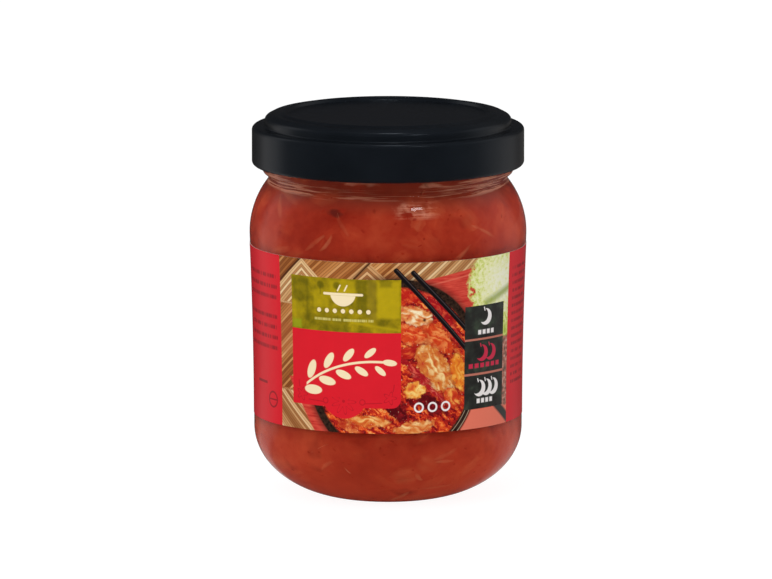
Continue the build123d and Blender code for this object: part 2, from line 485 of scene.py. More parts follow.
# scraps are in millimetres, and each placed one has a height, degrees round from the front,
# a turn from level in degrees, a length and a width
scraps = {
    "cabbage_leaf": {
        "count": 210, "length": (9, 20), "width": (5, 11), "crown": 0.2, "sink": 0.42, "thick": 0.9,
        "ragged": 0.34, "detail": 3, "seed": 11, "bend": 2.0, "strength": 0.3,
        "colours": [tone(176, 52, 32), tone(200, 80, 48), tone(214, 112, 72)],
        "placed": [(63, -16, -24, 15, 9), (9, 8, 10, 16, 10), (12, 30, -20, 14, 9)]},
    "cabbage_rib": {
        "count": 56, "length": (8, 19), "width": (1.8, 3.6), "crown": 0.24, "sink": 0.5, "thick": 1.6,
        "ragged": 0.2, "detail": 3, "seed": 23, "bend": 2.5, "strength": 0.24,
        "colours": [tone(196, 86, 54), tone(216, 128, 88), tone(228, 150, 104)],
        "placed": [(64, -20, -50, 12, 2.4), (10.6, -30, 35, 9, 2.0)]},
    "radish_strip": {
        "count": 30, "length": (9, 22), "width": (0.6, 1.1), "crown": 0.22, "sink": 0.5, "thick": 1.0,
        "ragged": 0.12, "detail": 2, "seed": 37, "bend": 3.5, "strength": 0.22,
        "colours": [tone(206, 108, 74), tone(224, 150, 112), tone(236, 168, 126)],
        "placed": [(9.6, -20, -55, 12, 1.0), (66, -23, -60, 12, 0.9)]},
    "chilli_flake": {
        "count": 420, "length": (0.7, 2.2), "width": (0.5, 1.3), "crown": 0.26, "sink": 0.5, "thick": 0.35,
        "ragged": 0.25, "detail": 2, "seed": 53, "bend": 0.2, "strength": 0.5,
        "colours": [tone(104, 18, 14), tone(146, 26, 16), tone(196, 50, 24)],
        "placed": [(67.3, -22, 8, 4.6, 2.2)]},
}
scrapFields = {"low": 7, "labelLow": 20, "labelHigh": 54, "behindLabel": 0.18, "steepest": 1.2}


def makeScrapMaterial(name, recipe):
    material, tree, shader = newMaterial(name)
    coords = objectPlace(tree)
    show = addNode(tree, "ShaderNodeAttribute", attribute_name="show").outputs["Fac"]
    tint = addNode(tree, "ShaderNodeAttribute", attribute_name="tint").outputs["Fac"]
    grain = addNode(tree, "ShaderNodeAttribute", attribute_name="grain").outputs["Vector"]
    veins = cloud(tree, grain, 1.0, 3.0, 0.55)
    own = calc(tree, "ADD", both(tree, veins, 0.8), calc(tree, "MULTIPLY_ADD", tint, 0.5, -0.2))
    own = ramp(tree, own, list(zip((0.2, 0.5, 0.82), recipe["colours"])))
    # a scrap shows most where it touches the glass, and fades into the brine round that
    spots = cloud(tree, coords, 300, 2.0, 0.5)
    cover = calc(tree, "MULTIPLY", calc(tree, "SMOOTH_MIN", show, 0.8, 0.2),
                 calc(tree, "MULTIPLY_ADD", spots, 0.8, recipe["strength"] - 0.35), clamp=True)
    tree.links.new(paint(tree, colourAt(tree, brineGroup, coords), own, cover), shader.inputs["Base Color"])
    setFinish(shader, Roughness=0.5, Specular_IOR_Level=0.0)
    addBump(tree, shader, veins, 0.25, 0.0006)
    return material


def addScrap(bm, layers, recipe, dice, run, around, turn, length, width):
    # one scrap pressed against the inside of the wall: a flat lump with a ragged edge and a slight curl
    made = bmesh.ops.create_icosphere(bm, subdivisions=recipe["detail"], radius=1.0)["verts"]
    salt = Vector((dice.random() * 90, dice.random() * 90, dice.random() * 90))
    tint, bend = dice.random(), dice.uniform(-1, 1) * recipe["bend"]
    outward = recipe["crown"] - dice.random() * 0.08
    for vert in made:
        x, y, z = vert.co
        reach = min(1.0, math.hypot(x, y))
        ragged = 1 + recipe["ragged"] * noise.noise(Vector((x, y, 0)) * 1.9 + salt) * (0.4 + reach)
        along, across = x * length / 2 * ragged, y * width / 2 * ragged + bend * x * x
        depth = outward - recipe["sink"] * reach ** 2.4
        if z < 0:
            depth -= recipe["thick"] * -z
        here = run + (along * math.sin(turn) + across * math.cos(turn))
        sideways = along * math.cos(turn) - across * math.sin(turn)
        _, radius = wallPlace(here, around, 0)
        vert.co, _ = wallPlace(here, around + sideways / max(radius, 6), depth)
        vert[layers["show"]] = min(1.0, max(0.0, (depth - brine["intoWall"]) / (outward - brine["intoWall"])))
        vert[layers["tint"]] = tint
        vert[layers["grain"]] = Vector((along * 0.12, across * 0.9, 0)) + salt


def makeScraps(name, recipe):
    dice = random.Random(recipe["seed"])
    bm = bmesh.new()
    layers = {"show": bm.verts.layers.float.new("show"), "tint": bm.verts.layers.float.new("tint"),
              "grain": bm.verts.layers.float_vector.new("grain")}
    for height, degrees, turn, length, width in recipe["placed"]:
        addScrap(bm, layers, recipe, dice, runAtHeight(height), math.radians(degrees), math.radians(turn),
                 length, width)
    # half of the others lie below the label and half above it, and a few of both go behind it instead
    labelLow, labelHigh = runAtHeight(scrapFields["labelLow"]), runAtHeight(scrapFields["labelHigh"])
    steepest = scrapFields["steepest"]
    for _ in range(recipe["count"]):
        low = dice.random() < 0.5
        run = dice.uniform(scrapFields["low"], labelLow) if low else dice.uniform(labelHigh, wallRun[-1] - 1)
        if dice.random() < scrapFields["behindLabel"]:
            run = dice.uniform(labelLow, labelHigh)
        addScrap(bm, layers, recipe, dice, run, dice.uniform(-math.pi, math.pi),
                 dice.uniform(-steepest, steepest), dice.uniform(*recipe["length"]),
                 dice.uniform(*recipe["width"]))
    bmesh.ops.recalc_face_normals(bm, faces=bm.faces)
    piece = finishPiece(bm, name, [makeScrapMaterial(name, recipe)])


lid = {  # the sheet's outer side from the middle outwards, radius and height, and the rounding of each corner
    "corners": [(0, 85.7), (22.3, 85.7), (22.8, 86.5), (23.6, 86.5), (24.6, 86.1), (25.8, 86.1),
                (27.65, 85.15), (27.65, 83.3), (30.5, 83.3), (30.5, 75.5)],
    "rounds": [0.5, 0.35, 0.35, 0.5, 1.0, 1.2, 0.4, 0.95],
    "tin": 0.25, "curlRadius": 1.0, "curlTurn": 250, "steps": 256,
    "lugs": 4, "lugInner": 27.0, "lugOuter": 29.0, "lugLow": 75.75, "lugHigh": 76.45, "lugRound": 0.23,
    "lugArc": 20, "lugBeyond": 20, "lugBelow": 76.8,
    "lacquer": (0.005, 0.0066, 0.009), "sheen": (0.74, 0.86, 1.0, 1), "smoothest": 0.2, "roughest": 0.25,
}


def makeLidMaterial():
    material, tree, shader = newMaterial("lidLacquer")
    coords = objectPlace(tree)
    smear = cloud(tree, coords, 60, 3.0, 0.6)
    lighter = tuple(1.5 * part for part in lid["lacquer"])
    colour = ramp(tree, smear, [(0.3, lid["lacquer"] + (1,)), (0.7, lighter + (1,))])
    tree.links.new(colour, shader.inputs["Base Color"])
    rough = addNode(tree, "ShaderNodeMapRange", {"Value": smear, "From Min": 0.3, "From Max": 0.7,
                                                 "To Min": lid["smoothest"], "To Max": lid["roughest"]})
    tree.links.new(rough.outputs[0], shader.inputs["Roughness"])
    setFinish(shader, Specular_IOR_Level=0.5, Specular_Tint=lid["sheen"])
    addBump(tree, shader, cloud(tree, coords, 2600, 2.0, 0.5), 0.12, 0.0001)
    return material


def makeLid():
    outer = roundedRun(lid["corners"], lid["rounds"], 8)
    skirtRadius, curlHeight = lid["corners"][-1]
    outer += ovalArc((skirtRadius - lid["curlRadius"], curlHeight), lid["curlRadius"], lid["curlRadius"],
                     0, -lid["curlTurn"], 26)[1:]
    outer = clean(closer(outer, 3.0))
    inner = []
    for i, point in enumerate(outer):
        heading = (outer[min(i + 1, len(outer) - 1)] - outer[max(i - 1, 0)]).normalized()
        inner.append(point + Vector((heading.y, -heading.x)) * lid["tin"])
    inner[0].x = 0
    bm = spinOutline(outer + list(reversed(inner)), lid["steps"])
    # the lugs are tabs of the rolled edge that stand in under the threads
    middle = Vector(((lid["lugInner"] + lid["lugOuter"]) / 2, (lid["lugLow"] + lid["lugHigh"]) / 2))
    half = Vector(((lid["lugOuter"] - lid["lugInner"]) / 2, (lid["lugHigh"] - lid["lugLow"]) / 2))
    for start in range(lid["lugs"]):
        turn = Matrix.Rotation(math.radians(360 / lid["lugs"] * start - lid["lugArc"] / 2), 4, "Z")
        back = turn.inverted()
        verts = []
        for sx, sy in ((-1, -1), (1, -1), (1, 1), (-1, 1)):
            corner = Vector(((middle.x + sx * half.x) * mm, 0, (middle.y + sy * half.y) * mm))
            verts.append(bm.verts.new(turn @ corner))
        bm.faces.new(verts)
        bmesh.ops.bevel(bm, geom=verts, offset=lid["lugRound"] * mm, segments=3, profile=0.5,
                        affect="VERTICES", material=-1)
        section = [face for face in bm.faces
                   if all(abs((back @ vert.co).y) < 1e-7 and vert.co.z < lid["lugBelow"] * mm
                          and (back @ vert.co).x > lid["lugBeyond"] * mm for vert in face.verts)]
        end = bmesh.ops.duplicate(bm, geom=section)["geom"]
        endFaces = [item for item in end if isinstance(item, bmesh.types.BMFace)]
        bmesh.ops.spin(bm, geom=endFaces, cent=(0, 0, 0), axis=(0, 0, 1), dvec=(0, 0, 0),
                       angle=math.radians(lid["lugArc"]), steps=10, use_duplicate=False)
    bmesh.ops.remove_doubles(bm, verts=bm.verts, dist=1e-7)
    bmesh.ops.recalc_face_normals(bm, faces=bm.faces)
    piece = finishPiece(bm, "lid_tin", [makeLidMaterial()], sharpAngle=60)
    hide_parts("lid")


# on the label, u runs round the jar from the middle of the front to the right, and v is the height,
# both in millimetres
label = {
    "low": 18.4, "high": 56.9, "paper": 0.1, "sunk": 0.03, "meanRadius": 30.6, "lap": 8.0, "lapMiddle": 190.0,
    "lapRise": 2.5, "columns": 288, "rows": 12, "sideCurve": 973.6, "bakeSheet": 108,
    "pictureLeft": -27.4, "pictureRight": 32.5, "blockLeft": -23.6, "blockRight": 2.9,
    "makerLow": 41.1, "makerHigh": 53.1, "nameLow": 21.4,
    "heatLeft": 18.2, "heatRight": 30.6, "heatLow": 22.8, "heatHigh": 46.1,
    "weightLeft": 3.6, "weightRight": 17.2, "weightLow": 21.6, "weightHigh": 26.8,
}
printTones = {
    "red": tone(226, 26, 42), "darkRed": tone(180, 20, 34), "strokes": tone(120, 12, 24),
    "cream": tone(252, 232, 190), "olive": tone(150, 130, 2), "white": tone(246, 240, 238),
    "charcoal": tone(48, 50, 46), "crimson": tone(206, 44, 74),
}


def printPlace(tree):
    return addNode(tree, "ShaderNodeUVMap", uv_map="print").outputs[0]


def within(tree, away, reach, soft):
    # 1 nearer than a reach and 0 beyond it, with a soft edge
    return slope(tree, away, -1 / soft, reach / soft + 0.5)


def discMask(tree, place, centre, radius, soft=0.12):
    away = vectorCalc(tree, "DISTANCE", place, (centre[0], centre[1], 0), "Value")
    return within(tree, away, radius, soft)


def ringMask(tree, place, centre, radius, half, soft=0.12):
    away = vectorCalc(tree, "DISTANCE", place, (centre[0], centre[1], 0), "Value")
    return bandMask(tree, away, radius - half, radius + half, soft)


def ovalPlace(tree, place, centre, size, turn=0.0):
    # the place as seen from an oval, whose edge is then at length 1
    mapping = {"Vector": place, "Location": (centre[0], centre[1], 0), "Rotation": (0, 0, math.radians(turn)),
               "Scale": (size[0], size[1], 1)}
    return addNode(tree, "ShaderNodeMapping", mapping, vector_type="TEXTURE").outputs[0]


def ovalAway(tree, place, centre, size, turn):
    return vectorCalc(tree, "LENGTH", ovalPlace(tree, place, centre, size, turn), output="Value")


def blockMask(tree, place, left, right, low, high, soft=0.1):
    local = vectorCalc(tree, "SUBTRACT", place, ((left + right) / 2, (low + high) / 2, 0))
    beyond = vectorCalc(tree, "SUBTRACT", vectorCalc(tree, "ABSOLUTE", local),
                        ((right - left) / 2, (high - low) / 2, 0))
    aside, above, _ = axes(tree, beyond)
    return within(tree, calc(tree, "MAXIMUM", aside, above), 0, soft)


def strokeMask(tree, place, start, end, half, soft=0.12):
    run = Vector((end[0] - start[0], end[1] - start[1], 0))
    local = vectorCalc(tree, "SUBTRACT", place, (start[0], start[1], 0))
    along = vectorCalc(tree, "DOT_PRODUCT", local, run.normalized(), "Value")
    along = calc(tree, "MAXIMUM", calc(tree, "MINIMUM", along, run.length), 0.0)
    away = vectorCalc(tree, "DISTANCE", local, scaleVector(tree, run.normalized(), along), "Value")
    return within(tree, away, half, soft)


def dashRows(tree, place, left, right, low, high, pitch, fill, size, share=0.5):
    # rows of plain dashes of uneven length
    u, v, _ = axes(tree, place)
    rows = calc(tree, "DIVIDE", calc(tree, "SUBTRACT", v, low), pitch)
    level = bandMask(tree, calc(tree, "FRACT", rows), 0.5 - share / 2, 0.5 + share / 2, 0.15)
    seat = addNode(tree, "ShaderNodeCombineXYZ", {0: both(tree, u, size),
                                                  1: both(tree, calc(tree, "FLOOR", rows), 7.31)}).outputs[0]
    words = slope(tree, cloud(tree, seat, 1.0, 1.0, 0.5), 12, -12 * (1 - fill) + 0.5)
    letters = slope(tree, cloud(tree, seat, 2.6, 0.0, 0.5), 10, -4.0)
    dash = both(tree, words, calc(tree, "MULTIPLY_ADD", letters, 0.6, 0.4))
    return both(tree, level, dash, blockMask(tree, place, left, right, low, high))


def allRows(tree, place, *fields):
    return either(tree, *[dashRows(tree, place, *field) for field in fields])


reedTones = [(0.0, (134, 72, 30), (176, 116, 66)), (0.4, (166, 98, 46), (216, 166, 110)),
             (0.75, (198, 132, 72), (238, 202, 148)), (1.0, (232, 178, 118), (250, 232, 190))]


def reedColour(tree, place):
    # a woven mat: brown reeds that lean to the right, with pale chevrons along the top
    u, v, _ = axes(tree, place)
    fromPeak = calc(tree, "PINGPONG", calc(tree, "ADD", u, 20.5), 7.95)
    fall = calc(tree, "MULTIPLY_ADD", fromPeak, 0.92, v)
    chevron = both(tree, slope(tree, calc(tree, "SUBTRACT", 57.1, fall), 5, 0.5),
                   bandMask(tree, u, -40, 0.6, 0.3), bandMask(tree, v, 46.5, 70, 0.5))
    low = both(tree, bandMask(tree, v, 0, 27, 0.5), bandMask(tree, u, -40, -10, 0.5))
    rising = both(tree, calc(tree, "MULTIPLY_ADD", u, -0.87, v), 0.8)
    falling = both(tree, calc(tree, "MULTIPLY_ADD", u, 0.9, v), 0.8)
    across = addNode(tree, "ShaderNodeMix", {0: chevron, 2: rising, 3: both(tree, fall, 0.8)}).outputs[0]
    across = addNode(tree, "ShaderNodeMix", {0: low, 2: across, 3: falling}).outputs[0]
    reeds = calc(tree, "DIVIDE", across, 0.62)
    tint = addNode(tree, "ShaderNodeTexWhiteNoise", {"W": calc(tree, "FLOOR", reeds)},
                   noise_dimensions="1D").outputs[0]
    brown = ramp(tree, tint, [(at, tone(*dark)) for at, dark, _ in reedTones])
    pale = ramp(tree, tint, [(at, tone(*light)) for at, _, light in reedTones])
    dimmed = calc(tree, "MULTIPLY_ADD", bandMask(tree, u, -12.5, 2, 0.6), -0.6, 1.0)
    lightest = either(tree, both(tree, chevron, dimmed), both(tree, bandMask(tree, u, 2.0, 40, 3.0), 0.6),
                      both(tree, low, 0.45),
                      both(tree, bandMask(tree, v, 46.5, 51.0, 0.5), bandMask(tree, u, -40, -23, 0.5)))
    colour = paint(tree, brown, pale, lightest)
    gap = calc(tree, "ABSOLUTE", calc(tree, "SUBTRACT", calc(tree, "FRACT", reeds), 0.5))
    colour = paint(tree, colour, tone(92, 46, 18), slope(tree, gap, 4.5, -1.45), 0.85)
    redder = both(tree, bandMask(tree, v, 35, 42, 1.0), bandMask(tree, u, -40, -23, 0.5))
    colour = paint(tree, colour, tone(176, 92, 52), redder, 0.4)
    for start, end in (((-27.6, 51.1), (-20.5, 57.3)), ((-7.6, 53.2), (-3.9, 57.0))):
        colour = paint(tree, colour, tone(78, 40, 18), strokeMask(tree, place, start, end, 0.24, 0.3))
    return colour


foodPieces = [  # centre, half sizes, turn, colours from dark to light
    ((3.8, 49.6), (3.8, 1.2), -16, (196, 34, 20), (240, 96, 44)),
    ((11.6, 45.8), (6.2, 1.4), -50, (170, 20, 28), (232, 84, 52)),
    ((14.8, 41.2), (4.6, 1.1), -52, (186, 30, 32), (238, 110, 66)),
    ((10.0, 40.2), (6.4, 2.3), -36, (220, 76, 26), (250, 156, 84)),
    ((4.9, 40.8), (4.0, 2.2), -18, (224, 76, 28), (250, 154, 84)),
    ((5.8, 45.0), (4.4, 2.0), -12, (232, 150, 78), (255, 238, 196)),
    ((4.4, 36.6), (3.2, 1.3), 16, (196, 38, 24), (244, 112, 48)),
    ((10.9, 32.6), (6.6, 3.3), -54, (222, 132, 54), (254, 224, 156)),
    ((16.6, 31.6), (4.2, 1.9), -80, (238, 136, 34), (253, 192, 84)),
    ((9.8, 24.8), (3.6, 1.7), -28, (98, 8, 18), (160, 24, 28)),
    ((1.6, 24.0), (3.4, 1.7), -40, (92, 8, 18), (150, 20, 26)),
    ((6.2, 28.2), (2.5, 2.0), 8, (242, 156, 58), (255, 218, 126)),
    ((6.0, 32.6), (5.2, 0.6), -40, (176, 22, 32), (232, 96, 76)),
    ((9.2, 28.6), (5.0, 0.45), -40, (186, 28, 36), (244, 130, 104)),
    ((15.0, 26.0), (2.6, 1.8), -64, (214, 70, 28), (248, 168, 78)),
    ((5.8, 19.7), (4.6, 1.5), 8, (226, 134, 62), (250, 208, 142)),
    ((-4.6, 21.2), (5.0, 1.3), -4, (222, 116, 44), (252, 206, 124)),
    ((-8.8, 19.6), (3.0, 1.0), -24, (196, 66, 30), (240, 150, 80)),
]


def foodColour(tree, place):
    # shredded cabbage in chilli, as a picture
    warped = stirred(tree, place, cloud(tree, place, 0.8, 3.0, 0.6, output="Color"), 2.2)
    strands = cloud(tree, ovalPlace(tree, warped, (0, 0), (3.4, 0.9), -36), 1.1, 2.0, 0.6)
    patches = cloud(tree, warped, 0.3, 2.0, 0.5)
    mixed = calc(tree, "MULTIPLY_ADD", strands, 0.75, both(tree, patches, 0.35))
    colour = ramp(tree, mixed, [(0.42, tone(96, 6, 16)), (0.5, tone(164, 20, 20)), (0.57, tone(210, 52, 22)),
                                (0.64, tone(242, 106, 38)), (0.72, tone(253, 170, 90))])
    bent = stirred(tree, place, cloud(tree, place, 0.3, 1.0, 0.5, output="Color"), 5.0)
    blots = both(tree, cloud(tree, place, 0.45, 1.5, 0.5), 0.48)
    for centre, size, turn, low, high in foodPieces:
        away = ovalAway(tree, warped, centre, size, turn)
        steep = 3.2 * min(size)
        colour = paint(tree, colour, tone(124, 8, 16), slope(tree, away, -2.2, 3.0), 0.5)
        lengthwise = vectorCalc(tree, "MULTIPLY", ovalPlace(tree, bent, centre, size, turn),
                                (0.7, 0.8 * min(size) + 0.7, 1))
        ribs = calc(tree, "MULTIPLY_ADD", cloud(tree, lengthwise, 1.0, 1.6, 0.5), 0.54, blots)
        darkest = (int(low[0] * 0.9), int(low[1] * 0.5), int(low[2] * 0.6))
        own = ramp(tree, ribs, [(0.34, tone(*darkest)), (0.5, tone(*low)), (0.66, tone(*high))])
        colour = paint(tree, colour, own, slope(tree, away, -steep, steep + 0.5))
    specks = cloud(tree, place, 1.7, 2.0, 0.6)
    colour = paint(tree, colour, tone(176, 20, 16), slope(tree, specks, 6, -3.6))
    colour = paint(tree, colour, tone(96, 50, 28), discMask(tree, place, (8.2, 43.9), 0.35, 0.3))
    shine = cloud(tree, place, 2.8, 1.0, 0.5)
    return paint(tree, colour, tone(255, 232, 190), slope(tree, shine, 7, -4.9))


def makePictureGroup():
    # the serving picture: a mat, a dark bowl of kimchi, a napkin, chopsticks and a cabbage leaf
    tree, place = newGroup("servingPicture")
    u, v, _ = axes(tree, place)
    colour = reedColour(tree, place)
    # napkin, right of the bowl and below a slanting hem, and its other corner low on the left
    under = calc(tree, "SUBTRACT", calc(tree, "MULTIPLY_ADD", u, 0.175, 51.4), v)
    cloth = both(tree, slope(tree, under, 6, 0.5), bandMask(tree, u, 3.5, 60, 0.3))
    beside = calc(tree, "SUBTRACT", calc(tree, "MULTIPLY_ADD", v, -0.62, -6.2), u)
    left = both(tree, slope(tree, beside, -2, 0.5), bandMask(tree, v, 10, 30, 0.3))
    weave = cloud(tree, vectorCalc(tree, "MULTIPLY", place, (0.3, 2.2, 1)), 1.0, 2.0, 0.6)
    napkin = ramp(tree, weave, [(0.3, tone(192, 44, 38)), (0.7, tone(226, 84, 66))])
    colour = paint(tree, colour, napkin, either(tree, cloth, left))
    fold = both(tree, bandMask(tree, under, 1.2, 1.5, 0.3), cloth)
    colour = paint(tree, colour, tone(234, 116, 92), fold, 0.7)
    # bowl
    middle = (1.5, 32.5)
    colour = paint(tree, colour, tone(66, 32, 24), discMask(tree, place, middle, 21.5, 1.6), 0.7)
    grit = cloud(tree, place, 1.3, 3.0, 0.6)
    rim = ramp(tree, grit, [(0.35, tone(26, 16, 12)), (0.72, tone(70, 48, 36))])
    colour = paint(tree, colour, rim, discMask(tree, place, middle, 20.8, 0.3))
    rings = [ringMask(tree, place, middle, radius, half) for radius, half in ((20.5, 0.1), (19.5, 0.08))]
    gleam = both(tree, either(tree, *rings), bandMask(tree, u, 8, 30, 1.5), bandMask(tree, v, 10, 24, 1.5))
    colour = paint(tree, colour, tone(196, 168, 140), gleam, 0.8)
    colour = paint(tree, colour, foodColour(tree, place), discMask(tree, place, middle, 18.9, 0.5))
    # coral cloth and the dark spoon at the lower right
    coral = without(tree, blockMask(tree, place, 17.2, 34, 10, 22.9, 0.6),
                    discMask(tree, place, middle, 21.0, 0.4))
    colour = paint(tree, colour, tone(236, 122, 98), coral)
    spoon = strokeMask(tree, place, (28.0, 23.4), (34.6, 18.0), 1.0, 0.5)
    colour = paint(tree, colour, tone(58, 60, 58), spoon)
    # chopsticks, each with a pale edge
    for start, end in (((1.8, 55.2), (20.0, 35.2)), ((5.6, 54.6), (20.9, 38.7))):
        colour = paint(tree, colour, tone(22, 19, 22), strokeMask(tree, place, start, end, 0.56))
        start, end = [(at[0] + 0.16, at[1] + 0.16) for at in (start, end)]
        colour = paint(tree, colour, tone(96, 84, 84), strokeMask(tree, place, start, end, 0.08, 0.2), 0.6)
    # leaf
    ruffled = stirred(tree, place, cloud(tree, place, 0.45, 3.0, 0.6, output="Color"), 3.0)
    away = ovalAway(tree, ruffled, (30.4, 50.6), (11.6, 9.6), -6)
    leafMask = slope(tree, away, -14, 14.5)
    crinkle = cloud(tree, place, 1.1, 4.0, 0.65)
    crinkle = calc(tree, "MULTIPLY_ADD", crinkle, 1.3, calc(tree, "MULTIPLY_ADD", away, -0.62, 0.28))
    leafTone = ramp(tree, crinkle, [(0.1, tone(166, 190, 62)), (0.3, tone(214, 222, 120)),
                                    (0.5, tone(240, 241, 178)), (0.8, tone(250, 250, 222))])
    colour = paint(tree, colour, leafTone, leafMask)
    stalk = strokeMask(tree, place, (24.5, 46.6), (33.5, 49.4), 0.8, 1.2)
    colour = paint(tree, colour, tone(150, 166, 70), both(tree, stalk, 0.8, leafMask))
    # right strip: leaf, then shade and brown bits
    colour = paint(tree, colour, leafTone, blockMask(tree, place, 30.4, 33.0, 38, 47.5, 0.4))
    bits = ramp(tree, cloud(tree, place, 0.9, 3.0, 0.6),
                [(0.35, tone(96, 84, 74)), (0.55, tone(190, 120, 100)), (0.75, tone(214, 208, 196))])
    colour = paint(tree, colour, bits, blockMask(tree, place, 30.5, 33.0, 22.5, 38.2, 0.5))
    addNode(tree, "NodeGroupOutput", {0: colour})
    return tree


pictureGroup = makePictureGroup()


def newPrint(name):
    # a printed material, and the place on the label
    material, tree, shader = newMaterial(name)
    return material, tree, shader, printPlace(tree)


def coatPrint(tree, shader, colour, place):
    # the finish that every printed field shares: coated paper, a little uneven
    tree.links.new(colour, shader.inputs["Base Color"])
    setFinish(shader, Roughness=0.24, Specular_IOR_Level=0.27)
    addBump(tree, shader, cloud(tree, place, 2.2, 3.0, 0.6), 0.05, 0.0002)


def redInk(tree, place):
    patches = slope(tree, cloud(tree, place, 0.25, 4.0, 0.6), 0.12, -0.036)
    return paint(tree, printTones["red"], (0.02, 0.0, 0.0, 1), patches)


def fieldPrint():
    # the red ground, with plain dashes where small print goes
    material, tree, shader, place = newPrint("labelField")
    marks = either(tree, allRows(tree, place, (-44, -28.7, 45.9, 53.2, 2.35, 0.58, 1.5, 0.36),
                                 (-44, -28.7, 34.4, 43.8, 2.35, 0.58, 1.5, 0.36),
                                 (34.4, 43.2, 26.4, 53.8, 1.72, 0.6, 1.6, 0.42)),
                   blockMask(tree, place, -38.6, -33.6, 27.0, 27.6),
                   ringMask(tree, place, (-31.0, 23.8), 1.7, 0.2),
                   strokeMask(tree, place, (-32.5, 23.8), (-29.5, 23.8), 0.16))
    colour = paint(tree, redInk(tree, place), printTones["strokes"], marks, 0.75)
    # back: a pale panel ruled as a table, rows of dashes beside it, and a ring for a stamp
    panel = blockMask(tree, place, 53, 79, 22.5, 53)
    table = either(tree, allRows(tree, place, (54, 78, 23.0, 50.4, 2.5, 2.0, 1.0, 0.08),
                                 (55, 67, 23.0, 50.4, 2.5, 0.62, 1.3, 0.36),
                                 (71, 77.4, 23.0, 50.4, 2.5, 0.62, 1.6, 0.36)),
                   blockMask(tree, place, 54, 78, 50.8, 52.2))
    colour = paint(tree, colour, printTones["cream"], panel)
    colour = paint(tree, colour, printTones["strokes"], both(tree, panel, table))
    more = allRows(tree, place, *[field + (1.7, 0.6, 1.3) for field in (
        (83, 102, 33.0, 53.4), (83, 102, 22.0, 30.5), (-92, -50, 36.0, 53.4), (-92, -66, 21.8, 33.6))])
    colour = paint(tree, colour, printTones["cream"], more, 0.85)
    colour = paint(tree, colour, printTones["cream"], ringMask(tree, place, (-56.5, 27.6), 5.0, 0.3))
    coatPrint(tree, shader, colour, place)
    return material


def picturePrint():
    material, tree, shader, place = newPrint("labelPicture")
    coatPrint(tree, shader, colourAt(tree, pictureGroup, place), place)
    return material


def makerPrint():
    # the olive block: a faint street view in one ink, a plain bowl for an emblem and dots for words
    material, tree, shader, place = newPrint("labelMaker")
    cream = printTones["cream"]
    blur = cloud(tree, place, 0.45, 3.0, 0.55)
    colour = ramp(tree, blur, [(0.3, tone(116, 104, 2)), (0.5, printTones["olive"]),
                               (0.72, tone(182, 156, 4))])
    dark, light = tone(92, 86, 4), tone(194, 168, 4)
    for left, right, low, high, shade, amount in (
            (-23.2, -19.6, 47.5, 52.6, dark, 0.45), (-23.2, -20.4, 43.5, 47.2, light, 0.35),
            (-19.6, -18.6, 43.0, 52.8, dark, 0.6), (-17.4, -13.6, 46.4, 50.2, light, 0.5),
            (-13.4, -7.4, 48.6, 52.8, light, 0.55), (-7.0, -4.6, 45.6, 53.0, dark, 0.6),
            (-4.5, -2.6, 44.0, 53.0, tone(140, 120, 24), 0.6), (-2.4, 2.7, 44.4, 52.6, light, 0.75),
            (-1.8, 0.8, 51.4, 52.6, dark, 0.5), (-20.0, -9.0, 41.2, 44.6, dark, 0.35),
            (-23.4, -20.8, 41.2, 43.2, tone(156, 168, 20), 0.7)):
        colour = paint(tree, colour, shade, blockMask(tree, place, left, right, low, high, 0.7), amount)
    for spot in ((-15.6, 51.5), (-11.6, 51.5)):
        colour = paint(tree, colour, dark, discMask(tree, place, spot, 0.85, 0.5), 0.7)
        colour = paint(tree, colour, dark, strokeMask(tree, place, spot, (spot[0], 49.4), 0.15, 0.3), 0.5)
    colour = paint(tree, colour, light, strokeMask(tree, place, (-8, 43.4), (2.6, 41.7), 0.25, 0.6), 0.7)
    bowl = both(tree, discMask(tree, place, (-10.2, 49.9), 3.0),
                bandMask(tree, axes(tree, place)[1], 46.8, 49.3, 0.12))
    # the bowl's rim, and steam above it
    lines = [strokeMask(tree, place, start, end, half) for start, end, half in (
        ((-14.6, 49.6), (-5.8, 49.6), 0.28), ((-11.4, 50.4), (-10.8, 51.6), 0.16),
        ((-9.8, 50.4), (-9.2, 51.6), 0.16))]
    colour = paint(tree, colour, cream, either(tree, bowl, *lines))
    dots = [discMask(tree, place, (-16.0 + 1.94 * i, 45.8), 0.5) for i in range(7)]
    colour = paint(tree, colour, cream, either(tree, *dots))
    small = dashRows(tree, place, -17.2, -3.2, 43.3, 44.3, 1.0, 0.62, 1.2, 0.55)
    colour = paint(tree, colour, tone(222, 210, 120), small, 0.8)
    coatPrint(tree, shader, colour, place)
    return material


def rosette(tree, place, centre, radius, petals, half):
    # a line flower, drawn in polar coordinates
    local = vectorCalc(tree, "SUBTRACT", place, (centre[0], centre[1], 0))
    aside, above, _ = axes(tree, local)
    wave = calc(tree, "COSINE", both(tree, calc(tree, "ARCTAN2", above, aside), float(petals)))
    away = vectorCalc(tree, "LENGTH", local, output="Value")
    edge = calc(tree, "SUBTRACT", away, calc(tree, "MULTIPLY_ADD", wave, radius * 0.3, radius * 0.7))
    return bandMask(tree, edge, -half, half, 0.14)


